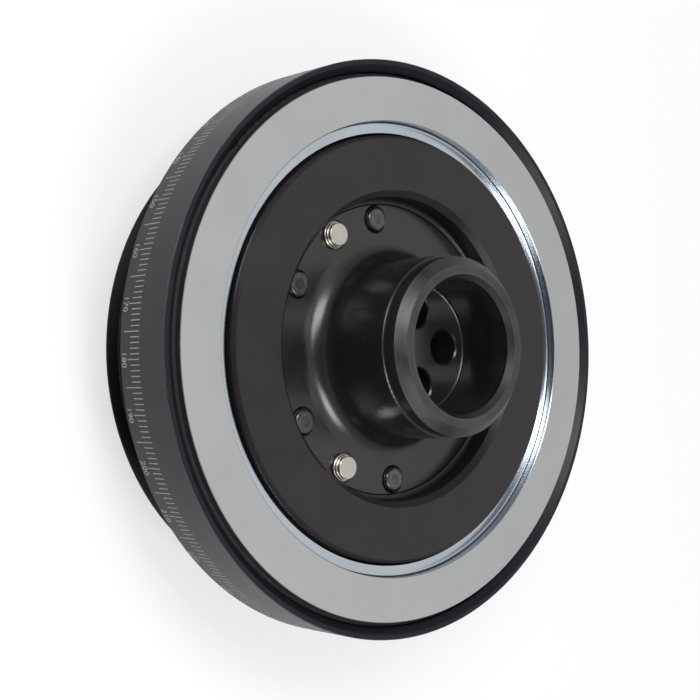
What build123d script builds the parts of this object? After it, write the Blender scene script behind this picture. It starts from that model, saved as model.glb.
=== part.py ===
from build123d import *
import os

os.makedirs("parts", exist_ok=True)

# Harmonic balancer (elastomer-ring crankshaft damper) with a multi-rib belt pulley.
# Millimetres. The crank axis is +Z and points to the engine. Z = 0 is the pulley's front rim,
# on which the balancer stands. Angle 0 is +X, and angles run anticlockwise seen from the engine.
# Radii are named *_r, heights above the front rim are named *_z.

# ---------------------------------------------------------------- driving dimensions

# outer shell: the cup that carries the degree scale
shell_wall = 3.8
shell_web = 4.8
shell_depth = 23.55
rim_chamfer = 2.1
rim_edge_break = 0.2
shell_edge_break = 0.5

# inertia ring
outer_gap = 1.75  # radial gap between shell and ring, bridged by elastomer
ring_width = 18.25
ring_proud = 0.05  # the ring's rear face stands this far above the shell's rim
ring_front_gap = 1.5
ring_step_width = 3.7
ring_step_depth = 3.3
ring_step_fillet = 0.8
ring_edge_break = 0.2

# inner shell
inner_gap = 0.8
inner_land = 20.0  # metal between the pocket's wall and the inertia ring's bore
inner_setback = 0.3
inner_edge_break = 1.1
pocket_band = 1.8  # floor between the hub flange and the pocket's wall, taken up by a fillet
pocket_chamfer = 1.9
lip_thickness = 3.2

# hub: seal journal with a smaller lead-in at its end, crank bore and drilled web
bore_r = 21.4
bore_depth = 22.1
bore_lead_width = 1.4
bore_lead_depth = 2.0
bore_corner_fillet = 0.8
lead_wall = 7.2  # metal between the bore and the lead-in's outside
lead_length = 7.7
lead_chamfer = 2.8
snout_face_width = 3.0
journal_step = 0.7
journal_length = 28.7  # from the flange to the shoulder at the lead-in
journal_fillet = 7.5
shoulder_fillet = 0.4
hub_web = 14.0
crank_hole_d = 11.5
crank_hole_count = 4
crank_hole_margin = 3.4  # metal between a crank bolt hole and the bore's wall
crank_hole_break = 0.5
socket_margin = 1.5  # room round the crank bolt holes in the front socket

# hub flange and what is bolted to it
bolt_shelf = 6.7  # flat between the journal's fillet and the bolt circle
bolt_edge = 5.0
flange_thickness = 6.6
flange_clear = 0.1  # radial, between the flange and the inner shell
flange_edge_break = 0.3
pilot_margin = 9.5  # from the bolt circle in to the pilot's side
pilot_short = 1.0  # the pilot ends this far inside the pulley's web
pilot_clear = 0.05
pilot_edge_break = 1.0

# bolts, washers and pins
bolt_d = 7.94
bolt_clear = 0.25
bolt_count = 6
indexed_bolt = 3
index_offset = 4.5  # degrees: one bolt stands off the even pitch, so the hub fits one way only
bolt_tip_proud = 1.3
bolt_tip_rounding = 0.9
bolt_hole_sink_d = 9.6
bolt_hole_sink_angle = 90.0
bolt_head_d = 11.9
bolt_head_height = 7.9
bolt_head_break = 0.6
hex_af = 6.35
hex_depth = 4.0
washer_d = 15.0
washer_thickness = 1.5
pin_count = 3
pin_short = 1.0
pin_tier_diameters = (9.2, 8.4, 7.5)
pin_tier_heights = (1.3, 0.8, 1.1)
pin_edge_rounding = 0.3
pin_first_angle = 90.0
pin_relief_d = 10.3  # counterbore in the hub flange that the pin's head sits in
pin_relief_depth = 0.5

# elastomer rings, squeezed flat against both walls
oring_width = 4.4
oring_rounding = 1.5
groove_side_clear = 0.2
outer_groove_depth = 2.2
inner_groove_depth = 3.2
face_groove_depth = 2.3

# pulley
pulley_step = 12.0  # the pulley's rim lies this far inside the shell's
rib_pitch = 3.56
rib_count = 6
rib_depth = 3.0
rib_floor = 0.4
rib_slope = 0.364  # side run per depth, a 40 degree groove
pulley_flange_height = 1.8
pulley_flange_tip = 1.2
pulley_wall = 3.7
pulley_web = 7.0
pulley_gap = 3.6  # between the pulley's rear rim and the shell
pulley_pad_margin = 18.5  # the pad against the shell reaches this far past the bolt circle
pulley_cup_fillet = 4.0
pulley_edge_break = 0.4

# ---------------------------------------------------------------- radii worked out from them

lead_r = bore_r + lead_wall
snout_face_r = bore_r + bore_lead_width + snout_face_width
journal_r = lead_r + journal_step
bolt_circle_r = journal_r + journal_fillet + bolt_shelf
flange_r = bolt_circle_r + bolt_edge
pilot_r = bolt_circle_r - pilot_margin
pilot_hole_r = pilot_r + pilot_clear
crank_hole_r = crank_hole_d / 2
crank_circle_r = bore_r - crank_hole_margin - crank_hole_r
socket_r = crank_circle_r + crank_hole_r + socket_margin

bolt_r = bolt_d / 2
bolt_hole_r = bolt_r + bolt_clear

seat_r = flange_r + flange_clear
pocket_r = seat_r + pocket_band
inner_r = pocket_r + inner_land
ring_bore_r = inner_r + inner_gap
ring_step_r = ring_bore_r + ring_step_width
ring_r = ring_bore_r + ring_width
shell_bore_r = ring_r + outer_gap
shell_r = shell_bore_r + shell_wall

pulley_pad_r = bolt_circle_r + pulley_pad_margin
pulley_r = shell_r - pulley_step
rib_tip_r = pulley_r - pulley_flange_height
rib_floor_r = rib_tip_r - rib_depth
cup_r = rib_floor_r - pulley_wall

# ---------------------------------------------------------------- heights worked out from them

flange_side_run = (rib_depth + pulley_flange_height) * rib_slope
first_groove_z = pulley_flange_tip + flange_side_run + rib_floor / 2
pulley_width = 2 * first_groove_z + (rib_count - 1) * rib_pitch
shell_front_z = pulley_width + pulley_gap
web_front_z = shell_front_z - pulley_web
web_top_z = shell_front_z + shell_web
rim_z = shell_front_z + shell_depth
ring_top_z = rim_z + ring_proud
ring_bottom_z = web_top_z + ring_front_gap
ledge_z = ring_top_z - ring_step_depth
inner_top_z = ring_top_z - inner_setback
lip_top_z = web_top_z + lip_thickness
flange_top_z = lip_top_z + flange_thickness
shoulder_z = flange_top_z + journal_length
snout_top_z = shoulder_z + lead_length
bore_floor_z = snout_top_z - bore_depth
socket_roof_z = bore_floor_z - hub_web
pilot_end_z = web_front_z + pilot_short
bolt_seat_z = web_front_z - washer_thickness

# elastomer grooves: two evenly spaced along each land, one in the ring's front face
ring_length = ring_top_z - ring_bottom_z
outer_groove_heights = {
    "rear": ring_top_z - ring_length / 4,
    "front": ring_bottom_z + ring_length / 4,
}
bore_land = ledge_z - ring_bottom_z
inner_groove_heights = {
    "rear": ledge_z - bore_land / 4,
    "front": ring_bottom_z + bore_land / 4,
}
face_groove_r = (ring_bore_r + ring_r) / 2
groove_width = oring_width + 2 * groove_side_clear

# bolts at an even pitch but for the indexed one, pins half way between bolts
bolt_angles = [i * 360 / bolt_count + (index_offset if i == indexed_bolt else 0) for i in range(bolt_count)]
pin_angles = [pin_first_angle + i * 360 / pin_count for i in range(pin_count)]


same = 0.001  # lengths closer than this count as equal


def on_circle(radius, angles):
    """Points on a circle round the crank axis, for Locations."""
    points = []
    for angle in angles:
        point = Vector(radius, 0).rotate(Axis.Z, angle)
        points.append((point.X, point.Y))
    return points


def ring_edges(part, height, radius):
    """The circular edges round the crank axis at one height and radius."""
    centre = Vector(0, 0, height)
    circles = part.edges().filter_by(GeomType.CIRCLE)
    return [e for e in circles if (e.arc_center - centre).length < same and abs(e.radius - radius) < same]


bolt_points = on_circle(bolt_circle_r, bolt_angles)
pin_points = on_circle(bolt_circle_r, pin_angles)

# ---------------------------------------------------------------- outer shell
# A turned aluminium cup: thin wall, web with the pilot bore, and a wide inner chamfer at the rim.

with BuildPart() as outer_shell:
    with BuildSketch(Plane.XZ) as shell_section:
        with BuildLine():
            Polyline(
                (pilot_hole_r, shell_front_z),
                (shell_r, shell_front_z),
                (shell_r, rim_z),
                (shell_bore_r, rim_z),
                (shell_bore_r, web_top_z),
                (pilot_hole_r, web_top_z),
                close=True,
            )
        make_face()
    revolve(axis=Axis.Z)
    chamfer(ring_edges(outer_shell, rim_z, shell_bore_r), rim_chamfer)
    chamfer(ring_edges(outer_shell, rim_z, shell_r), rim_edge_break)
    chamfer(ring_edges(outer_shell, shell_front_z, shell_r), shell_edge_break)
    with Locations(*[(x, y, web_top_z) for x, y in bolt_points]):
        Hole(bolt_hole_r, depth=shell_web)
    with Locations(*[(x, y, web_top_z) for x, y in pin_points]):
        Hole(bolt_r, depth=shell_web)

outer_shell.part.label = "outer_shell"
export_step(outer_shell.part, "parts/outer_shell.step")

# ---------------------------------------------------------------- inertia ring
# Heavy steel ring with a stepped rear corner, two grooves round its outside for the elastomer
# rings against the shell, and one in its front face against the shell's web.

with BuildPart() as inertia_ring:
    with BuildSketch(Plane.XZ) as ring_section:
        with BuildLine():
            Polyline(
                (ring_bore_r, ring_bottom_z),
                (ring_r, ring_bottom_z),
                (ring_r, ring_top_z),
                (ring_step_r, ring_top_z),
                (ring_step_r, ledge_z),
                (ring_bore_r, ledge_z),
                close=True,
            )
        make_face()
    revolve(axis=Axis.Z)
    chamfer(ring_edges(inertia_ring, ring_top_z, ring_r), ring_edge_break)
    chamfer(ring_edges(inertia_ring, ring_top_z, ring_step_r), ring_edge_break)
    chamfer(ring_edges(inertia_ring, ledge_z, ring_bore_r), ring_edge_break)
    fillet(ring_edges(inertia_ring, ledge_z, ring_step_r), ring_step_fillet)
    with BuildSketch(Plane.XZ) as ring_grooves:
        with Locations(*[(ring_r, z) for z in outer_groove_heights.values()]):
            Rectangle(2 * outer_groove_depth, groove_width)
        with Locations((face_groove_r, ring_bottom_z)):
            Rectangle(groove_width, 2 * face_groove_depth)
    revolve(axis=Axis.Z, mode=Mode.SUBTRACT)

inertia_ring.part.label = "inertia_ring"
export_step(inertia_ring.part, "parts/inertia_ring.step")

# ---------------------------------------------------------------- inner shell
# Carries the inertia ring's bore on two elastomer rings. Its pocket takes the hub flange, and a lip
# under the flange is clamped between the flange and the outer shell's web.

with BuildPart() as inner_shell:
    with BuildSketch(Plane.XZ) as inner_section:
        with BuildLine():
            Polyline(
                (pilot_hole_r, web_top_z),
                (inner_r, web_top_z),
                (inner_r, inner_top_z),
                (pocket_r, inner_top_z),
                (pocket_r, flange_top_z),
                (seat_r, flange_top_z),
                (seat_r, lip_top_z),
                (pilot_hole_r, lip_top_z),
                close=True,
            )
        make_face()
    revolve(axis=Axis.Z)
    chamfer(ring_edges(inner_shell, inner_top_z, pocket_r), pocket_chamfer)
    chamfer(ring_edges(inner_shell, inner_top_z, inner_r), inner_edge_break)
    fillet(ring_edges(inner_shell, flange_top_z, pocket_r), pocket_band - flange_clear)
    with BuildSketch(Plane.XZ) as inner_grooves:
        with Locations(*[(inner_r, z) for z in inner_groove_heights.values()]):
            Rectangle(2 * inner_groove_depth, groove_width)
    revolve(axis=Axis.Z, mode=Mode.SUBTRACT)
    with Locations(*[(x, y, lip_top_z) for x, y in bolt_points]):
        Hole(bolt_hole_r, depth=lip_thickness)
    with Locations(*[(x, y, lip_top_z) for x, y in pin_points]):
        Hole(bolt_r, depth=lip_thickness)

inner_shell.part.label = "inner_shell"
export_step(inner_shell.part, "parts/inner_shell.step")

# ---------------------------------------------------------------- hub
# One steel turning: pilot, flange, ground seal journal on a wide fillet, and the bore for the crank
# nose, closed by a web with the crank bolt holes. The socket in front takes the crank bolt heads.

with BuildPart() as hub:
    with BuildSketch(Plane.XZ) as hub_section:
        with BuildLine():
            Polyline(
                (0, pilot_end_z),
                (pilot_r, pilot_end_z),
                (pilot_r, lip_top_z),
                (flange_r, lip_top_z),
                (flange_r, flange_top_z),
                (journal_r, flange_top_z),
                (journal_r, shoulder_z),
                (lead_r, shoulder_z),
                (lead_r, snout_top_z - lead_chamfer),
                (snout_face_r, snout_top_z),
                (0, snout_top_z),
                close=True,
            )
        make_face()
    revolve(axis=Axis.Z)
    fillet(ring_edges(hub, flange_top_z, journal_r), journal_fillet)
    fillet(ring_edges(hub, shoulder_z, lead_r), shoulder_fillet)
    chamfer(ring_edges(hub, flange_top_z, flange_r), flange_edge_break)
    chamfer(ring_edges(hub, pilot_end_z, pilot_r), pilot_edge_break)
    with Locations((0, 0, snout_top_z)):
        Hole(bore_r, depth=bore_depth)
    chamfer(ring_edges(hub, snout_top_z, bore_r), bore_lead_width, bore_lead_depth)
    fillet(ring_edges(hub, bore_floor_z, bore_r), bore_corner_fillet)
    with Locations(Plane((0, 0, pilot_end_z), z_dir=(0, 0, -1))):
        Hole(socket_r, depth=socket_roof_z - pilot_end_z)
    with Locations((0, 0, bore_floor_z)):
        with PolarLocations(crank_circle_r, crank_hole_count):
            Hole(crank_hole_r, depth=hub_web)
    crank_rims = hub.edges().filter_by(GeomType.CIRCLE).filter_by(lambda e: abs(e.radius - crank_hole_r) < same)
    chamfer(crank_rims.filter_by(lambda e: abs(e.arc_center.Z - bore_floor_z) < same), crank_hole_break)
    with Locations(*[(x, y, flange_top_z) for x, y in bolt_points]):
        CounterSinkHole(
            bolt_r,
            bolt_hole_sink_d / 2,
            depth=flange_thickness,
            counter_sink_angle=bolt_hole_sink_angle,
        )
    with Locations(*[(x, y, flange_top_z) for x, y in pin_points]):
        CounterBoreHole(bolt_r, pin_relief_d / 2, pin_relief_depth, depth=flange_thickness)

hub.part.label = "hub"
export_step(hub.part, "parts/hub.step")

# ---------------------------------------------------------------- pulley
# A cup with six V-grooves round its rim between two flanges, and a web that bolts up to the shell.

rim_outline = [(pulley_r, 0), (pulley_r, pulley_flange_tip)]
for groove in range(rib_count):
    groove_z = first_groove_z + groove * rib_pitch
    tip_half_width = rib_floor / 2 + rib_depth * rib_slope
    if groove > 0:
        rim_outline.append((rib_tip_r, groove_z - tip_half_width))
    rim_outline.append((rib_floor_r, groove_z - rib_floor / 2))
    rim_outline.append((rib_floor_r, groove_z + rib_floor / 2))
    if groove < rib_count - 1:
        rim_outline.append((rib_tip_r, groove_z + tip_half_width))
rim_outline += [(pulley_r, pulley_width - pulley_flange_tip), (pulley_r, pulley_width)]

with BuildPart() as pulley:
    with BuildSketch(Plane.XZ) as pulley_section:
        with BuildLine():
            Polyline(
                (cup_r, 0),
                *rim_outline,
                (pulley_pad_r, pulley_width),
                (pulley_pad_r, shell_front_z),
                (pilot_hole_r, shell_front_z),
                (pilot_hole_r, web_front_z),
                (cup_r, web_front_z),
                close=True,
            )
        make_face()
    revolve(axis=Axis.Z)
    fillet(ring_edges(pulley, web_front_z, cup_r), pulley_cup_fillet)
    chamfer(ring_edges(pulley, 0, pulley_r) + ring_edges(pulley, 0, cup_r), pulley_edge_break)
    chamfer(ring_edges(pulley, pulley_width, pulley_r), pulley_edge_break)
    with Locations(*[(x, y, shell_front_z) for x, y in bolt_points]):
        Hole(bolt_hole_r, depth=pulley_web)
    with Locations(*[(x, y, shell_front_z) for x, y in pin_points]):
        Hole(bolt_r, depth=pulley_web)

pulley.part.label = "pulley"
export_step(pulley.part, "parts/pulley.step")

# ---------------------------------------------------------------- elastomer rings


def elastomer_ring(label, radius, height, radial, axial):
    """One elastomer ring of rounded section, centred at a radius and height, written to its file."""
    with BuildPart() as ring:
        with BuildSketch(Plane.XZ):
            with Locations((radius, height)):
                RectangleRounded(radial, axial, oring_rounding)
        revolve(axis=Axis.Z)
    ring.part.label = label
    export_step(ring.part, f"parts/{label}.step")


outer_squeeze = outer_groove_depth + outer_gap
for end, groove_z in outer_groove_heights.items():
    elastomer_ring(f"outer_oring_{end}", shell_bore_r - outer_squeeze / 2, groove_z, outer_squeeze, oring_width)

inner_squeeze = inner_groove_depth + inner_gap
for end, groove_z in inner_groove_heights.items():
    elastomer_ring(f"inner_oring_{end}", ring_bore_r - inner_squeeze / 2, groove_z, inner_squeeze, oring_width)

face_squeeze = face_groove_depth + ring_front_gap
elastomer_ring("face_oring", face_groove_r, web_top_z + face_squeeze / 2, oring_width, face_squeeze)

# ---------------------------------------------------------------- bolts, washers and pins
# Socket head bolts come in from the front, through pulley, shell and lip, into the hub flange, and
# their rounded tips show in the pocket.

bolt_tip_z = flange_top_z + bolt_tip_proud

for number, (x, y) in enumerate(bolt_points, start=1):
    with BuildPart() as hub_bolt:
        with BuildSketch(Plane.XY.offset(bolt_seat_z)):
            with Locations((x, y)):
                Circle(bolt_head_d / 2)
        extrude(amount=-bolt_head_height)
        chamfer(hub_bolt.faces().sort_by(Axis.Z)[0].edges(), bolt_head_break)
        with BuildSketch(Plane.XY.offset(bolt_seat_z)):
            with Locations((x, y)):
                Circle(bolt_r)
        extrude(amount=bolt_tip_z - bolt_seat_z)
        fillet(hub_bolt.faces().sort_by(Axis.Z)[-1].edges(), bolt_tip_rounding)
        with BuildSketch(Plane.XY.offset(bolt_seat_z - bolt_head_height)):
            with Locations((x, y)):
                RegularPolygon(hex_af / 2, 6, major_radius=False)
        extrude(amount=hex_depth, mode=Mode.SUBTRACT)
    hub_bolt.part.label = f"hub_bolt_{number}"
    export_step(hub_bolt.part, f"parts/hub_bolt_{number}.step")

    with BuildPart() as hub_washer:
        with BuildSketch(Plane.XY.offset(bolt_seat_z)):
            with Locations((x, y)):
                Circle(washer_d / 2)
                Circle(bolt_hole_r, mode=Mode.SUBTRACT)
        extrude(amount=washer_thickness)
    hub_washer.part.label = f"hub_washer_{number}"
    export_step(hub_washer.part, f"parts/hub_washer_{number}.step")

# Drive pins run from the pulley's web to the hub flange and end in a stepped head that sits in a
# counterbore and stands above the flange.

pin_front_z = web_front_z + pin_short
pin_seat_z = flange_top_z - pin_relief_depth

for number, (x, y) in enumerate(pin_points, start=1):
    with BuildPart() as drive_pin:
        with BuildSketch(Plane.XY.offset(pin_front_z)):
            with Locations((x, y)):
                Circle(bolt_r)
        extrude(amount=pin_seat_z - pin_front_z)
        tier_z = pin_seat_z
        for tier_d, tier_height in zip(pin_tier_diameters, pin_tier_heights):
            with BuildSketch(Plane.XY.offset(tier_z)):
                with Locations((x, y)):
                    Circle(tier_d / 2)
            extrude(amount=tier_height)
            fillet(drive_pin.faces().sort_by(Axis.Z)[-1].edges(), pin_edge_rounding)
            tier_z += tier_height
    drive_pin.part.label = f"drive_pin_{number}"
    export_step(drive_pin.part, f"parts/drive_pin_{number}.step")
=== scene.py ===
"""Harmonic balancer: finishes, degree scale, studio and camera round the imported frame.

Everything is in the part's own frame: +Z along the crank axis towards the engine, Z = 0 at the pulley's front
rim. Sizes in the sub-assemblies are in millimetres and are turned to metres as meshes are made. The studio's
are in metres.
"""

import logging
import math
from dataclasses import dataclass, field, replace
from enum import Enum
from typing import Any, Iterable, Optional, Union

import bpy
from mathutils import Matrix, Vector


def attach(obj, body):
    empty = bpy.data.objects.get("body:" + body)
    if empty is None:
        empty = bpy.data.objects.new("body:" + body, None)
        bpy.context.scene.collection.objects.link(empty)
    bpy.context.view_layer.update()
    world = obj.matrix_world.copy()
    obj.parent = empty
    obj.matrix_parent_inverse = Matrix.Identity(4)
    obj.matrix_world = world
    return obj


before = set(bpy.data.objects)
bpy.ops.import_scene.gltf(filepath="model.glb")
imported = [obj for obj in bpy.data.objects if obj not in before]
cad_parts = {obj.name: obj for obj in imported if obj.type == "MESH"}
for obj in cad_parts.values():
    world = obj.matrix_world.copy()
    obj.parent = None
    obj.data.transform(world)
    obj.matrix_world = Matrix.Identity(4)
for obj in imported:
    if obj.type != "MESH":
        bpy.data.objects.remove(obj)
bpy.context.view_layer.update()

MM = 0.001
BODY = "root"

SEAM = 0.01  # mm that a band's limit stands off the face where it ends
BUMP_STRENGTH = 0.6
GRAIN_NOISE = {"Detail": 3.0, "Roughness": 0.6}  # the noise that draws rings or grain
PATCH_NOISE = {"Detail": 4.0, "Roughness": 0.55}  # the noise that draws faint patches
MARKS_SPAN = {"From Min": 0.35, "From Max": 0.65}  # nearly all values of the two together lie in it
VALUES = {"data_type": "FLOAT"}  # what a mix node blends
COLOURS = {"data_type": "RGBA"}

Source = Union[float, bpy.types.NodeSocket]

log = logging.getLogger("balancer")


# ---------------------------------------------------------------- small tools


def srgb(hex_colour: str, alpha: float = 1.0) -> tuple[float, float, float, float]:
    """Turns an sRGB hex colour into linear values.

    Args:
        hex_colour: six hex digits after a hash, as "#1a2b3c".
        alpha: opacity, kept as it is.

    Returns:
        Linear red, green, blue and the alpha.
    """
    values = [int(hex_colour[i : i + 2], 16) / 255 for i in (1, 3, 5)]
    linear = [v / 12.92 if v <= 0.04045 else ((v + 0.055) / 1.055) ** 2.4 for v in values]
    return (linear[0], linear[1], linear[2], alpha)


def add_node(
    tree: bpy.types.NodeTree,
    kind: str,
    settings: Optional[dict[str, Any]] = None,
    inputs: Optional[dict[Any, Any]] = None,
) -> bpy.types.Node:
    """Adds one shader node with its settings and links.

    Args:
        tree: the tree that takes the node.
        kind: the node's type name, as "ShaderNodeMath".
        settings: attributes of the node, by name.
        inputs: values or output sockets for its inputs, by name or number.

    Returns:
        The new node.
    """
    node = tree.nodes.new(kind)
    for name, value in (settings or {}).items():
        setattr(node, name, value)
    for key, value in (inputs or {}).items():
        socket = node.inputs[key]
        if isinstance(value, bpy.types.NodeSocket):
            tree.links.new(value, socket)
        else:
            socket.default_value = value
    return node


def new_material(name: str) -> tuple[bpy.types.Material, bpy.types.NodeTree]:
    """Starts a material with an empty node tree.

    Args:
        name: the material's name.

    Returns:
        The material and its tree.
    """
    material = bpy.data.materials.new(name)
    material.use_nodes = True
    material.node_tree.nodes.clear()
    return material, material.node_tree


def circle_point(radius: float, degrees: float) -> tuple[float, float]:
    """The point at an angle on a circle round the crank axis, in the radius's unit."""
    angle = math.radians(degrees)
    return (radius * math.cos(angle), radius * math.sin(angle))


def mesh_object(name: str, vertices: list[Vector], faces: list[tuple[int, ...]]) -> bpy.types.Object:
    """Makes a mesh object in the part's frame and links it to the scene.

    Args:
        name: the piece's name.
        vertices: its points, in metres.
        faces: its faces, as vertex numbers.

    Returns:
        The new object.
    """
    mesh = bpy.data.meshes.new(name)
    mesh.from_pydata([tuple(v) for v in vertices], [], faces)
    mesh.update()
    obj = bpy.data.objects.new(name, mesh)
    bpy.context.scene.collection.objects.link(obj)
    return obj


# ---------------------------------------------------------------- finishes


class Lay(Enum):
    """How the marks of a surface run."""

    TURNED = "turned"
    PLAIN = "plain"


@dataclass(frozen=True)
class Tone:
    """Colour and sheen of a surface, which vary with its marks.

    Args:
        colour: sRGB hex colour.
        worn_colour: the colour that the lightest marks reach.
        metallic: 1 for bare metal, 0 for an oxide layer.
        roughness: mean roughness.
        roughness_swing: how far the roughness moves up and down.
    """

    colour: str
    worn_colour: str
    metallic: float
    roughness: float
    roughness_swing: float

    def shade(
        self, tree: bpy.types.NodeTree, marks: bpy.types.NodeSocket
    ) -> tuple[bpy.types.NodeSocket, bpy.types.NodeSocket]:
        """Adds the nodes of its colour and roughness.

        Args:
            tree: the material's tree.
            marks: socket of the noise of its marks.

        Returns:
            The sockets of the colour and of the roughness.
        """
        span = {"Value": marks, **MARKS_SPAN}
        spread = add_node(tree, "ShaderNodeMapRange", inputs=span).outputs["Result"]
        ends = {"A": srgb(self.colour), "B": srgb(self.worn_colour)}
        colour = add_node(tree, "ShaderNodeMix", COLOURS, {"Factor": spread, **ends}).outputs["Result"]
        least, most = self.roughness - self.roughness_swing, self.roughness + self.roughness_swing
        rough = add_node(tree, "ShaderNodeMapRange", inputs={**span, "To Min": least, "To Max": most})
        return colour, rough.outputs["Result"]


@dataclass(frozen=True)
class Band(Tone):
    """A band of a turned surface, between two radii and two heights, that is finished another way.

    Args:
        inner_r, outer_r: radii in mm.
        low_z, high_z: heights in mm.
    """

    inner_r: float
    outer_r: float
    low_z: float
    high_z: float

    def mask(
        self, tree: bpy.types.NodeTree, radius: bpy.types.NodeSocket, height: bpy.types.NodeSocket
    ) -> bpy.types.NodeSocket:
        """Adds nodes that are 1 inside the band and 0 outside.

        Args:
            tree: the material's tree.
            radius: socket of the radius in mm.
            height: socket of the height in mm.

        Returns:
            The socket of the mask.
        """
        inside: Source = 1.0
        for socket, test, limit in (
            (radius, "GREATER_THAN", self.inner_r),
            (radius, "LESS_THAN", self.outer_r),
            (height, "GREATER_THAN", self.low_z),
            (height, "LESS_THAN", self.high_z),
        ):
            within = add_node(tree, "ShaderNodeMath", {"operation": test}, {0: socket, 1: limit}).outputs[0]
            inputs = {0: inside, 1: within}
            inside = add_node(tree, "ShaderNodeMath", {"operation": "MULTIPLY"}, inputs).outputs[0]
        return inside


@dataclass(frozen=True)
class MachinedFinish(Tone):
    """A machined or moulded surface: its tone varies along the tool's rings or its grain, and in faint patches.

    Args:
        name: the material's name.
        lay: how it was machined.
        ring_mm: spacing of the tool's rings, or size of the grain.
        relief_mm: depth of the rings or the grain.
        patch_mm: size of the faint patches from handling and oil.
        patch_share: how much of the variation is patches, the rest being rings or grain.
        ior: refractive index of the layer; left out on a metal, which keeps the default.
        anisotropy: how far the rings fan the light.
        bands: bands of it that are finished another way.
    """

    name: str
    lay: Lay
    ring_mm: float
    relief_mm: float
    patch_mm: float = 9.0
    patch_share: float = 0.35
    ior: Optional[float] = None
    anisotropy: float = 0.0
    bands: tuple[Band, ...] = ()

    def material(self, axis: tuple[float, float] = (0.0, 0.0)) -> bpy.types.Material:
        """Builds the node material.

        Args:
            axis: where the axis of its rings stands, in mm; the crank axis if left out.

        Returns:
            The material.
        """
        material, tree = new_material(self.name)
        place = add_node(tree, "ShaderNodeTexCoord").outputs["Object"]
        in_mm = add_node(
            tree, "ShaderNodeVectorMath", {"operation": "SCALE"}, {0: place, "Scale": 1 / MM}
        ).outputs[0]
        centred = add_node(
            tree, "ShaderNodeVectorMath", {"operation": "SUBTRACT"}, {0: in_mm, 1: (*axis, 0.0)}
        ).outputs[0]
        x, y, height = add_node(tree, "ShaderNodeSeparateXYZ", inputs={0: centred}).outputs
        flat = add_node(tree, "ShaderNodeCombineXYZ", inputs={0: x, 1: y}).outputs[0]
        radius = add_node(tree, "ShaderNodeVectorMath", {"operation": "LENGTH"}, {0: flat}).outputs["Value"]

        # turned rings depend on radius and height only, so that they run round their axis
        grain_place = centred
        if self.lay is Lay.TURNED:
            grain_place = add_node(tree, "ShaderNodeCombineXYZ", inputs={0: radius, 1: height}).outputs[0]
        grain_scale = {"Vector": grain_place, "Scale": 1 / self.ring_mm}
        grain = add_node(tree, "ShaderNodeTexNoise", inputs={**grain_scale, **GRAIN_NOISE}).outputs["Fac"]
        patch_scale = {"Vector": in_mm, "Scale": 1 / self.patch_mm}
        patches = add_node(tree, "ShaderNodeTexNoise", inputs={**patch_scale, **PATCH_NOISE}).outputs["Fac"]
        shares = {"Factor": self.patch_share, "A": grain, "B": patches}
        marks = add_node(tree, "ShaderNodeMix", VALUES, shares).outputs["Result"]

        colour, rough = self.shade(tree, marks)
        metallic: Source = self.metallic
        for band in self.bands:
            mask = {"Factor": band.mask(tree, radius, height)}
            band_colour, band_rough = band.shade(tree, marks)
            tones = {**mask, "A": colour, "B": band_colour}
            colour = add_node(tree, "ShaderNodeMix", COLOURS, tones).outputs["Result"]
            sheens = {**mask, "A": rough, "B": band_rough}
            rough = add_node(tree, "ShaderNodeMix", VALUES, sheens).outputs["Result"]
            if band.metallic != self.metallic:
                metals = {**mask, "A": metallic, "B": band.metallic}
                metallic = add_node(tree, "ShaderNodeMix", VALUES, metals).outputs["Result"]

        relief = add_node(
            tree,
            "ShaderNodeBump",
            inputs={"Strength": BUMP_STRENGTH, "Distance": self.relief_mm * MM, "Height": grain},
        ).outputs["Normal"]
        inputs = {
            "Base Color": colour,
            "Roughness": rough,
            "Metallic": metallic,
            "Normal": relief,
        }
        if self.ior is not None:
            inputs["IOR"] = self.ior
        if self.anisotropy:
            inputs["Anisotropic"] = self.anisotropy
            inputs["Tangent"] = add_node(
                tree, "ShaderNodeTangent", {"direction_type": "RADIAL", "axis": "Z"}
            ).outputs[0]
        shader = add_node(tree, "ShaderNodeBsdfPrincipled", inputs=inputs)
        add_node(tree, "ShaderNodeOutputMaterial", inputs={"Surface": shader.outputs[0]})
        return material


# Black anodised aluminium, fine turned: a satin near-black whose hair-fine tool rings catch the light.
SHELL_ANODISED = MachinedFinish(
    name="anodised_aluminium_turned",
    colour="#0f0f16",
    worn_colour="#17171f",
    metallic=0.0,
    roughness=0.33,
    roughness_swing=0.05,
    lay=Lay.TURNED,
    ring_mm=0.4,  # the real rings are 0.1 mm apart, drawn coarser so that they show
    relief_mm=0.003,
    ior=1.34,
    anisotropy=0.4,
)

# The same anodised layer on the pocketed inner shell, faced a little coarser: matter and more even.
INNER_ANODISED = MachinedFinish(
    name="anodised_aluminium_faced",
    colour="#1a1717",
    worn_colour="#232021",
    metallic=0.0,
    roughness=0.33,
    roughness_swing=0.05,
    lay=Lay.TURNED,
    ring_mm=0.5,  # the real rings are 0.15 mm apart, drawn coarser so that they show
    relief_mm=0.004,
    patch_mm=12.0,
    patch_share=0.5,
    ior=1.44,
)

# Hard black anodised aluminium of the pulley: dull, with its near-black colour partly painted shade of the
# recess it sits in, so that the belt's grooves stay dark.
PULLEY_ANODISED = MachinedFinish(
    name="anodised_aluminium_pulley",
    colour="#08080a",
    worn_colour="#101012",
    metallic=0.0,
    roughness=0.45,
    roughness_swing=0.06,
    lay=Lay.TURNED,
    ring_mm=0.5,  # the real rings are 0.15 mm apart, drawn coarser so that they show
    relief_mm=0.004,
    ior=1.42,
)

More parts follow.
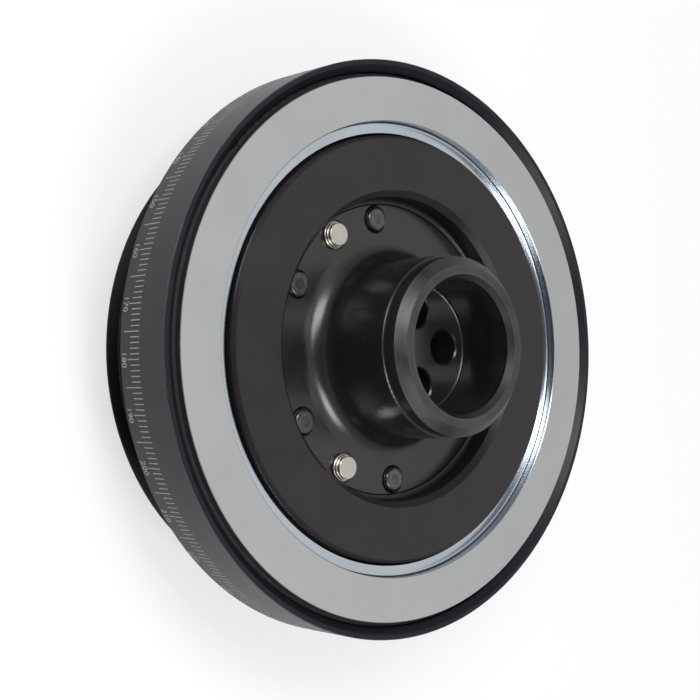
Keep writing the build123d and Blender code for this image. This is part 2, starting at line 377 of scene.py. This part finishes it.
# Low-carbon steel faced on a lathe: an even satin grey whose tool rings are too fine to tell apart.
FACED_STEEL = MachinedFinish(
    name="steel_faced",
    colour="#bebfbf",
    worn_colour="#c6c7c7",
    metallic=1.0,
    roughness=0.34,
    roughness_swing=0.02,
    lay=Lay.TURNED,
    ring_mm=0.3,  # the real rings are 0.1 mm apart, drawn coarser
    relief_mm=0.001,
    patch_mm=26.0,
    patch_share=0.6,
    anisotropy=0.3,
)

# Black-oxide steel, turned and oiled: glossy black with a soft edge to its highlights.
OXIDE_STEEL = MachinedFinish(
    name="steel_black_oxide",
    colour="#171718",
    worn_colour="#1f1f20",
    metallic=0.0,
    roughness=0.25,
    roughness_swing=0.03,
    lay=Lay.TURNED,
    ring_mm=0.5,  # the real rings are 0.1 mm apart, drawn coarser
    relief_mm=0.002,
    patch_share=0.6,
    ior=1.62,
)

# Alloy steel bolts in black oxide: dark, with the lathe's rings on their ends.
BOLT_STEEL = MachinedFinish(
    name="steel_bolt_oxide",
    colour="#3a3a3b",
    worn_colour="#6a6a6c",
    metallic=0.8,
    roughness=0.26,
    roughness_swing=0.08,
    lay=Lay.TURNED,
    ring_mm=0.6,  # the real rings are 0.2 mm apart, drawn coarser and deeper so that they show
    relief_mm=0.08,
    patch_mm=2.5,
)

# Zinc-phosphated steel washers: dull light grey with fine crystals.
WASHER_STEEL = MachinedFinish(
    name="steel_phosphated",
    colour="#4c4d4c",
    worn_colour="#656664",
    metallic=0.5,
    roughness=0.55,
    roughness_swing=0.08,
    lay=Lay.PLAIN,
    ring_mm=0.5,  # the real crystals are hundredths of a millimetre, drawn coarser so that they show
    relief_mm=0.01,
)

# Nickel-flashed dowel steel: warm white metal with a soft shine and the odd speck.
PIN_STEEL = MachinedFinish(
    name="steel_pin_nickel",
    colour="#c8c4bc",
    worn_colour="#d4d0c8",
    metallic=1.0,
    roughness=0.3,
    roughness_swing=0.03,
    lay=Lay.TURNED,
    ring_mm=0.5,  # the real rings are 0.1 mm apart, drawn coarser
    relief_mm=0.001,
    patch_mm=3.0,
    patch_share=0.6,
)

# Moulded elastomer: matt black with next to no highlight; its near-black colour is partly painted shade, so
# that the gap it fills reads as a dark line.
ELASTOMER = MachinedFinish(
    name="elastomer_moulded",
    colour="#050505",
    worn_colour="#0a0a0a",
    metallic=0.0,
    roughness=0.6,
    roughness_swing=0.08,
    lay=Lay.PLAIN,
    ring_mm=1.5,  # the unevenness of the squeezed ring, at about its real size
    relief_mm=0.02,
    ior=1.4,
)

# Laser-etched anodising: the dye is burnt off and leaves a dull light grey with a fine grain.
LASER_MARK = MachinedFinish(
    name="aluminium_laser_etched",
    colour="#858588",
    worn_colour="#9e9ea1",
    metallic=0.0,
    roughness=0.6,
    roughness_swing=0.05,
    lay=Lay.PLAIN,
    ring_mm=0.3,  # the real grain is a few hundredths of a millimetre, drawn coarser
    relief_mm=0.004,
    ior=1.5,
)


# ---------------------------------------------------------------- sub-assemblies


def dress(nodes: Iterable[str], material: bpy.types.Material) -> None:
    """Puts a material on CAD nodes, whose shape is kept.

    Args:
        nodes: the nodes' names.
        material: what they are finished in.
    """
    for name in nodes:
        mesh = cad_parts[name].data
        mesh.materials.clear()
        mesh.materials.append(material)
        log.info("dressed %s in %s", name, material.name)


@dataclass
class DegreeScale:
    """The laser-etched degree scale round the outer shell.

    Args:
        shell_r: radius of the shell's outside.
        mark_proud: how far a mark's face stands above it, so that it shows.
        mark_sunk: how far a mark's root lies under it.
        tick_top_z: height where every tick starts.
        one_z, five_z, ten_z: heights where the ticks at 1, 5 and 10 degrees end.
        tick_width: width of a tick.
        digit_top_z: height of the digits' tops, which point to the engine.
        digit_height: their height.
        digit_share: height of a digit as a share of its font's size.
        curve_steps: steps in each curve of a digit's outline.
        zero_angle: the angle of the part's frame at which the scale reads zero.
    """

    shell_r: float = 95.0
    mark_proud: float = 0.02
    mark_sunk: float = 0.12
    tick_top_z: float = 38.3
    one_z: float = 33.6
    five_z: float = 30.2
    ten_z: float = 32.1
    tick_width: float = 0.28
    digit_top_z: float = 31.35
    digit_height: float = 2.3
    digit_share: float = 0.7
    curve_steps: int = 3
    zero_angle: float = 90.0

    def on_shell(self, along: float, z: float, r: float) -> Vector:
        """A point round the shell.

        Args:
            along: angle in degrees on the scale.
            z: height in mm.
            r: radius in mm.

        Returns:
            The point in metres.
        """
        angle = math.radians(self.zero_angle + along)
        return Vector((r * math.cos(angle), r * math.sin(angle), z)) * MM

    def ticks(self) -> bpy.types.Object:
        """Builds the 360 ticks as one mesh of thin curved blocks.

        Returns:
            The ticks.
        """
        half = math.degrees(self.tick_width / 2 / self.shell_r)
        low_r, high_r = self.shell_r - self.mark_sunk, self.shell_r + self.mark_proud
        vertices: list[Vector] = []
        faces: list[tuple[int, ...]] = []
        block = ((3, 2, 1, 0), (4, 5, 6, 7), (0, 1, 5, 4), (1, 2, 6, 5), (2, 3, 7, 6), (3, 0, 4, 7))
        for degree in range(360):
            end_z = self.ten_z if degree % 10 == 0 else self.five_z if degree % 5 == 0 else self.one_z
            corners = ((-half, end_z), (half, end_z), (half, self.tick_top_z), (-half, self.tick_top_z))
            first = len(vertices)
            vertices += [self.on_shell(degree + along, z, r) for r in (low_r, high_r) for along, z in corners]
            faces += [tuple(first + i for i in face) for face in block]
        return mesh_object("degree_ticks", vertices, faces)

    def numbers(self) -> bpy.types.Object:
        """Builds the numbers at every ten degrees from text, bent round the shell.

        Returns:
            The numbers as one mesh.
        """
        vertices: list[Vector] = []
        faces: list[tuple[int, ...]] = []
        base_z = self.digit_top_z - self.digit_height
        middle_r = self.shell_r + (self.mark_proud - self.mark_sunk) / 2
        for degree in range(0, 360, 10):
            curve = bpy.data.curves.new(f"number_{degree}", "FONT")
            curve.body = str(degree)
            curve.align_x = "CENTER"
            curve.size = self.digit_height / self.digit_share * MM
            curve.extrude = (self.mark_proud + self.mark_sunk) / 2 * MM
            curve.resolution_u = self.curve_steps
            text = bpy.data.objects.new(curve.name, curve)
            bpy.context.scene.collection.objects.link(text)
            bpy.context.view_layer.update()
            mesh = bpy.data.meshes.new_from_object(text.evaluated_get(bpy.context.evaluated_depsgraph_get()))
            first = len(vertices)
            for vertex in mesh.vertices:
                x, y, depth = (c / MM for c in vertex.co)
                along = degree + math.degrees(x / self.shell_r)
                vertices.append(self.on_shell(along, base_z + y, middle_r + depth))
            faces += [tuple(first + i for i in polygon.vertices) for polygon in mesh.polygons]
            bpy.data.objects.remove(text)
            bpy.data.curves.remove(curve)
            bpy.data.meshes.remove(mesh)
        return mesh_object("degree_numbers", vertices, faces)

    def build(self) -> None:
        """Builds the scale and lets it ride with the part."""
        material = LASER_MARK.material()
        for piece in (self.ticks(), self.numbers()):
            piece.data.materials.append(material)
            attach(piece, BODY)
            log.info("built %s, %d faces", piece.name, len(piece.data.polygons))


@dataclass
class OuterShell:
    """The black cup round the inertia ring, with the degree scale on its side.

    Args:
        shell_r: radius of its outside.
        rim_z: height of its rear rim.
        front_z: height of its front edge.
        edge_width: how far the lighter metallic band reaches from an edge; it is partly thin, worn anodising
            and partly painted glint that stands in for the edge's highlight.
            edge_colour, edge_worn_colour: sRGB colours of those edges, lightened both by wear and as painted
                glint.
        edge_roughness, edge_swing: their roughness and how far it moves up and down.
        finish: what it is finished in.
        scale: its degree scale.
    """

    shell_r: float = 95.0
    rim_z: float = 51.244
    front_z: float = 27.694
    edge_width: float = 0.25
    # painted glint: the edges' lighter metallic colours stand partly for their highlight, partly for wear
    edge_colour: str = "#55555a"
    edge_worn_colour: str = "#96969c"
    edge_roughness: float = 0.25
    edge_swing: float = 0.05
    finish: MachinedFinish = SHELL_ANODISED
    scale: DegreeScale = field(default_factory=DegreeScale)

    def edge(self, z: float) -> Band:
        """The band of lighter metallic colour round an edge of its side: partly worn anodising, partly painted
        glint for the edge's highlight.

        Args:
            z: height of the edge in mm.

        Returns:
            The band.
        """
        return Band(
            inner_r=self.shell_r - self.edge_width,
            outer_r=self.shell_r + self.edge_width,
            low_z=z - self.edge_width,
            high_z=z + self.edge_width,
            colour=self.edge_colour,
            worn_colour=self.edge_worn_colour,
            roughness=self.edge_roughness,
            roughness_swing=self.edge_swing,
            metallic=1.0,
        )

    def build(self) -> None:
        """Dresses the shell, with its edges lightened both by wear and as painted glint, and builds its scale.
        """
        edges = (self.edge(self.rim_z), self.edge(self.front_z))
        dress(("outer_shell",), replace(self.finish, bands=edges).material())
        self.scale.build()


@dataclass
class InertiaRing:
    """The heavy steel ring between the two shells.

    Args:
        step_r: radius of the wall of its rear step, with the broken edge.
        face_z: height of its rear face.
        edge_break: size of the broken edge.
        finish: what its faces are finished in.
        step_colour, step_worn_colour: sRGB colours of the step.
        step_roughness, step_swing: its roughness and how far it moves up and down.
    """

    step_r: float = 74.9
    face_z: float = 51.294
    edge_break: float = 0.2
    finish: MachinedFinish = FACED_STEEL
    step_colour: str = "#bcc4cb"
    step_worn_colour: str = "#cbd3da"
    step_roughness: float = 0.2
    step_swing: float = 0.03

    def build(self) -> None:
        """Dresses the ring; its step is cut with a finishing tool and is smoother than its face."""
        step = Band(
            inner_r=0.0,
            outer_r=self.step_r + self.edge_break,
            low_z=0.0,
            high_z=self.face_z - SEAM,
            colour=self.step_colour,
            worn_colour=self.step_worn_colour,
            roughness=self.step_roughness,
            roughness_swing=self.step_swing,
            metallic=1.0,
        )
        dress(("inertia_ring",), replace(self.finish, bands=(step,)).material())


@dataclass
class InnerShell:
    """The black disc that carries the ring's bore and takes the hub flange in its pocket."""

    finish: MachinedFinish = INNER_ANODISED

    def build(self) -> None:
        """Dresses the inner shell."""
        dress(("inner_shell",), self.finish.material())


@dataclass
class Hub:
    """The hub with its seal journal and crank bore.

    Args:
        lead_r: radius of the lead-in at the snout's end.
        end_z: height of the snout's end.
        chamfer: size of its outer chamfer.
        finish: what it is finished in.
        end_colour, end_worn_colour: sRGB colours of the end face and chamfer.
        end_roughness, end_swing: their roughness and how far it moves up and down.
    """

    lead_r: float = 28.6
    end_z: float = 78.694
    chamfer: float = 2.8
    finish: MachinedFinish = OXIDE_STEEL
    end_colour: str = "#4b4a4a"
    end_worn_colour: str = "#605f60"
    end_roughness: float = 0.42
    end_swing: float = 0.07

    def build(self) -> None:
        """Dresses the hub; its end is cut after blackening and shows dark bare steel."""
        end = Band(
            inner_r=0.0,
            outer_r=self.lead_r - SEAM,
            low_z=self.end_z - self.chamfer,
            high_z=self.end_z + SEAM,
            colour=self.end_colour,
            worn_colour=self.end_worn_colour,
            roughness=self.end_roughness,
            roughness_swing=self.end_swing,
            metallic=1.0,
        )
        dress(("hub",), replace(self.finish, bands=(end,)).material())


@dataclass
class HubBolts:
    """The six socket head bolts with their washers, seen from the pocket by their tips.

    Args:
        count: number of bolts.
        circle_r: radius of the bolt circle.
        indexed: number of the bolt, from zero, that stands off the even pitch.
        index_offset: how far it does, in degrees.
        bolt_r: radius of a bolt's shank.
        flange_z: height of the hub flange's rear face, where the threads come out.
        pitch: pitch of the thread.
        thread_turns: turns of thread that show.
        thread_proud: how far a crest stands above the shank.
        thread_sunk: how far the ridge's root lies under it.
        crest_width: width of the thread's ridge at its root.
        steps: steps along the ridge.
        run_out: share of the ridge over which it rises, and runs out at its other end.
        end_share: share of its width that is left at both ends.
        finish: what the bolts are finished in.
        washer_finish: what the washers are finished in.
    """

    count: int = 6
    circle_r: float = 43.5
    indexed: int = 3
    index_offset: float = 4.5
    bolt_r: float = 3.97
    flange_z: float = 42.294
    pitch: float = 1.058
    thread_turns: float = 0.9
    thread_proud: float = 0.16
    thread_sunk: float = 0.1
    crest_width: float = 0.6
    steps: int = 72
    run_out: float = 0.125
    end_share: float = 0.05
    finish: MachinedFinish = BOLT_STEEL
    washer_finish: MachinedFinish = WASHER_STEEL

    def centre(self, number: int) -> tuple[float, float]:
        """The place of a bolt's axis in mm, by its number from zero."""
        degrees = number * 360 / self.count + (self.index_offset if number == self.indexed else 0.0)
        return circle_point(self.circle_r, degrees)

    def thread(self, number: int) -> bpy.types.Object:
        """Builds the turn of thread that shows round a bolt's tip.

        Args:
            number: the bolt's number, from zero.

        Returns:
            The ridge, as a closed helix.
        """
        x, y = self.centre(number)
        root_r = self.bolt_r - self.thread_sunk
        low_z = self.flange_z - self.thread_turns * self.pitch / 2
        vertices: list[Vector] = []
        faces: list[tuple[int, ...]] = []
        for step in range(self.steps + 1):
            share = step / self.steps
            fade = min(1.0, share / self.run_out, (1 - share) / self.run_out)
            turn = 2 * math.pi * self.thread_turns * share
            z = low_z + self.pitch * self.thread_turns * share
            half = self.crest_width / 2 * max(fade, self.end_share)
            crest_r = self.bolt_r + self.thread_proud * fade
            for r, dz in ((root_r, -half), (crest_r, 0.0), (root_r, half)):
                vertices.append(Vector((x + r * math.cos(turn), y + r * math.sin(turn), z + dz)) * MM)
            if step:
                first = 3 * step
                for a, b in ((0, 1), (1, 2), (2, 0)):
                    faces.append((first - 3 + a, first + a, first + b, first - 3 + b))
        last = 3 * self.steps
        faces += [(0, 1, 2), (last + 2, last + 1, last)]
        return mesh_object(f"bolt_thread_{number + 1}", vertices, faces)

    def build(self) -> None:
        """Dresses the bolts and washers and cuts the threads."""
        for number in range(self.count):
            steel = self.finish.material(self.centre(number))
            dress((f"hub_bolt_{number + 1}",), steel)
            thread = self.thread(number)
            thread.data.materials.append(steel)
            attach(thread, BODY)
            log.info("built %s", thread.name)
        dress([f"hub_washer_{i + 1}" for i in range(self.count)], self.washer_finish.material())


@dataclass
class DrivePins:
    """The three stepped drive pins.

    Args:
        count: number of pins.
        circle_r: radius of their circle.
        first_angle: place of the first, in degrees.
        finish: what they are finished in.
    """

    count: int = 3
    circle_r: float = 43.5
    first_angle: float = 90.0
    finish: MachinedFinish = PIN_STEEL

    def build(self) -> None:
        """Dresses each pin, with its rings round its own axis."""
        for number in range(self.count):
            centre = circle_point(self.circle_r, self.first_angle + number * 360 / self.count)
            dress((f"drive_pin_{number + 1}",), self.finish.material(centre))


@dataclass
class Pulley:
    """The multi-rib belt pulley."""

    finish: MachinedFinish = PULLEY_ANODISED

    def build(self) -> None:
        """Dresses the pulley."""
        dress(("pulley",), self.finish.material())


@dataclass
class ElastomerRings:
    """The five elastomer rings that the inertia ring floats on."""

    nodes: tuple[str, ...] = (
        "outer_oring_rear",
        "outer_oring_front",
        "inner_oring_rear",
        "inner_oring_front",
        "face_oring",
    )
    finish: MachinedFinish = ELASTOMER

    def build(self) -> None:
        """Dresses the rings."""
        dress(self.nodes, self.finish.material())


# ---------------------------------------------------------------- studio


@dataclass(frozen=True)
class SoftBox:
    """A rectangular studio lamp.

    Args:
        name: its name.
        place: its centre, in metres.
        along: direction of its long side.
        size: width and length, in metres.
        radiance: how bright its face is, where 1 is white.
    """

    name: str
    place: tuple[float, float, float]
    along: tuple[float, float, float]
    size: tuple[float, float]
    radiance: float

    def build(self, aim: Vector) -> None:
        """Builds the lamp.

        Args:
            aim: the point that it faces.
        """
        data = bpy.data.lights.new(self.name, "AREA")
        data.shape = "RECTANGLE"
        data.size, data.size_y = self.size
        data.energy = self.radiance * math.pi * self.size[0] * self.size[1]
        lamp = bpy.data.objects.new(self.name, data)
        bpy.context.scene.collection.objects.link(lamp)
        back = (Vector(self.place) - aim).normalized()
        side = Vector(self.along).cross(back).normalized()
        turn = Matrix((side, back.cross(side), back)).transposed()
        lamp.location = self.place
        lamp.rotation_mode = "QUATERNION"
        lamp.rotation_quaternion = turn.to_quaternion()
        log.info("built %s", self.name)


@dataclass(frozen=True)
class SkyPatch:
    """A soft-edged round patch of the sky that mirrored rays see at another brightness.

    Args:
        towards: the direction of its middle.
        full_deg: how far from the middle it is at full strength, in degrees.
        end_deg: where it has faded out.
        brightness: the sky's strength at its middle.
    """

    towards: tuple[float, float, float]
    full_deg: float
    end_deg: float
    brightness: float


@dataclass
class Studio:
    """Plain pale floor, soft light and the camera.

    Args:
        floor_r: radius of the floor in metres.
        floor_sides: number of its sides.
        floor_colour: its sRGB colour.
        fade_r: radii between which the floor fades to white, in metres.
        fade_share: how white the camera sees it inside and outside them.
        lamp_aim: the point that the soft boxes face.
        lamps: the soft boxes.
        sky_strength: strength of the sky as light on dull surfaces, where 1 is what the camera sees.
        mirror_strength: its strength in mirrored rays, away from its patches.
        patches: the patches of the mirrored sky: the pale ceiling behind, and the dark side of the camera.
        camera_place, camera_aim: place of the camera and what it looks at, in metres.
        camera_roll: its turn about its own axis, in degrees.
        focal_mm, sensor_mm: its focal length and sensor width.
        clip: the nearest and farthest that it sees, in metres.
    """

    floor_r: float = 4.0
    floor_sides: int = 96
    floor_colour: str = "#f4f4f4"
    fade_r: tuple[float, float] = (0.12, 0.5)
    fade_share: tuple[float, float] = (0.6, 1.0)
    lamp_aim: tuple[float, float, float] = (0.0, 0.0, 0.045)
    lamps: tuple[SoftBox, ...] = (
        SoftBox("soft_box_right", (0.44, -0.12, 0.69), (0.5, 0.8, -0.2), (0.28, 0.34), 8.0),
        SoftBox("soft_box_left", (-0.31, -0.255, 0.67), (-0.2, -0.25, -0.27), (0.27, 0.5), 8.0),
    )
    sky_strength: float = 0.62
    mirror_strength: float = 0.4
    patches: tuple[SkyPatch, ...] = (
        SkyPatch((0.0, 0.5, 0.866), 8.0, 52.0, 0.98),
        SkyPatch((0.0, -0.55, 0.83), 18.0, 45.0, 0.12),
    )
    camera_place: tuple[float, float, float] = (-0.001139, -0.312425, 0.377852)
    camera_aim: tuple[float, float, float] = (-0.000276, -0.024632, 0.051294)
    camera_roll: float = 87.9365
    focal_mm: float = 70.46
    sensor_mm: float = 36.0
    clip: tuple[float, float] = (0.01, 20.0)

    def floor(self) -> None:
        """Builds the round floor, white to the camera far out and keeping the part's shadow close in."""
        angles = [2 * math.pi * i / self.floor_sides for i in range(self.floor_sides)]
        rim = [Vector((math.cos(a), math.sin(a), 0)) * self.floor_r for a in angles]
        floor = mesh_object("floor", rim, [tuple(range(self.floor_sides))])
        material, tree = new_material("studio_floor")
        place = add_node(tree, "ShaderNodeTexCoord").outputs["Object"]
        distance = add_node(tree, "ShaderNodeVectorMath", {"operation": "LENGTH"}, {0: place}).outputs["Value"]
        far = add_node(
            tree,
            "ShaderNodeMapRange",
            {"interpolation_type": "SMOOTHSTEP"},
            {
                "Value": distance,
                "From Min": self.fade_r[0],
                "From Max": self.fade_r[1],
                "To Min": self.fade_share[0],
                "To Max": self.fade_share[1],
            },
        ).outputs["Result"]
        seen = add_node(tree, "ShaderNodeLightPath").outputs["Is Camera Ray"]
        share = add_node(tree, "ShaderNodeMath", {"operation": "MULTIPLY"}, {0: far, 1: seen}).outputs[0]
        dull = add_node(tree, "ShaderNodeBsdfDiffuse", inputs={"Color": srgb(self.floor_colour)})
        white = add_node(tree, "ShaderNodeEmission", inputs={"Strength": 1.0})
        mix = add_node(tree, "ShaderNodeMixShader", inputs={0: share, 1: dull.outputs[0], 2: white.outputs[0]})
        add_node(tree, "ShaderNodeOutputMaterial", inputs={"Surface": mix.outputs[0]})
        floor.data.materials.append(material)
        log.info("built %s", floor.name)

    def sky(self) -> None:
        """Sets the world: pale to the camera, softer as light, and graded by its patches in mirrored rays."""
        world = bpy.data.worlds.new("studio_sky")
        world.use_nodes = True
        tree = world.node_tree
        tree.nodes.clear()
        ray = add_node(tree, "ShaderNodeLightPath")
        mirrored = add_node(
            tree,
            "ShaderNodeMath",
            {"operation": "MAXIMUM"},
            {0: ray.outputs["Is Glossy Ray"], 1: ray.outputs["Is Transmission Ray"]},
        ).outputs[0]
        place = add_node(tree, "ShaderNodeTexCoord").outputs["Generated"]
        shade: Source = self.mirror_strength
        for patch in self.patches:
            facing = add_node(
                tree,
                "ShaderNodeVectorMath",
                {"operation": "DOT_PRODUCT"},
                {0: place, 1: Vector(patch.towards).normalized()},
            ).outputs["Value"]
            inside = add_node(
                tree,
                "ShaderNodeMapRange",
                {"interpolation_type": "SMOOTHSTEP"},
                {
                    "Value": facing,
                    "From Min": math.cos(math.radians(patch.end_deg)),
                    "From Max": math.cos(math.radians(patch.full_deg)),
                },
            ).outputs["Result"]
            skies = {"Factor": inside, "A": shade, "B": patch.brightness}
            shade = add_node(tree, "ShaderNodeMix", VALUES, skies).outputs["Result"]
        lights = {"Factor": mirrored, "A": self.sky_strength, "B": shade}
        light = add_node(tree, "ShaderNodeMix", VALUES, lights).outputs["Result"]
        views = {"Factor": ray.outputs["Is Camera Ray"], "A": light, "B": 1.0}
        strength = add_node(tree, "ShaderNodeMix", VALUES, views).outputs["Result"]
        background = add_node(tree, "ShaderNodeBackground", inputs={"Strength": strength})
        add_node(tree, "ShaderNodeOutputWorld", inputs={"Surface": background.outputs[0]})
        bpy.context.scene.world = world
        log.info("built %s", world.name)

    def camera(self) -> None:
        """Builds the camera."""
        data = bpy.data.cameras.new("camera")
        data.lens, data.sensor_width = self.focal_mm, self.sensor_mm
        data.clip_start, data.clip_end = self.clip
        camera = bpy.data.objects.new("camera", data)
        bpy.context.scene.collection.objects.link(camera)
        camera.location = self.camera_place
        aim = Vector(self.camera_aim) - Vector(self.camera_place)
        roll = Matrix.Rotation(math.radians(self.camera_roll), 3, "Z")
        camera.rotation_mode = "QUATERNION"
        camera.rotation_quaternion = (aim.to_track_quat("-Z", "Y").to_matrix() @ roll).to_quaternion()
        bpy.context.scene.camera = camera
        log.info("built %s", camera.name)

    def build(self) -> None:
        """Builds the whole studio."""
        self.floor()
        self.sky()
        for lamp in self.lamps:
            lamp.build(Vector(self.lamp_aim))
        self.camera()
        bpy.context.scene.view_settings.view_transform = "Standard"


def main() -> None:
    """Builds the balancer and its studio in order."""
    logging.basicConfig(level=logging.INFO, format="%(name)s: %(message)s")
    for assembly in (
        Pulley(),
        OuterShell(),
        InertiaRing(),
        ElastomerRings(),
        InnerShell(),
        Hub(),
        HubBolts(),
        DrivePins(),
        Studio(),
    ):
        assembly.build()


if __name__ == "__main__":
    main()
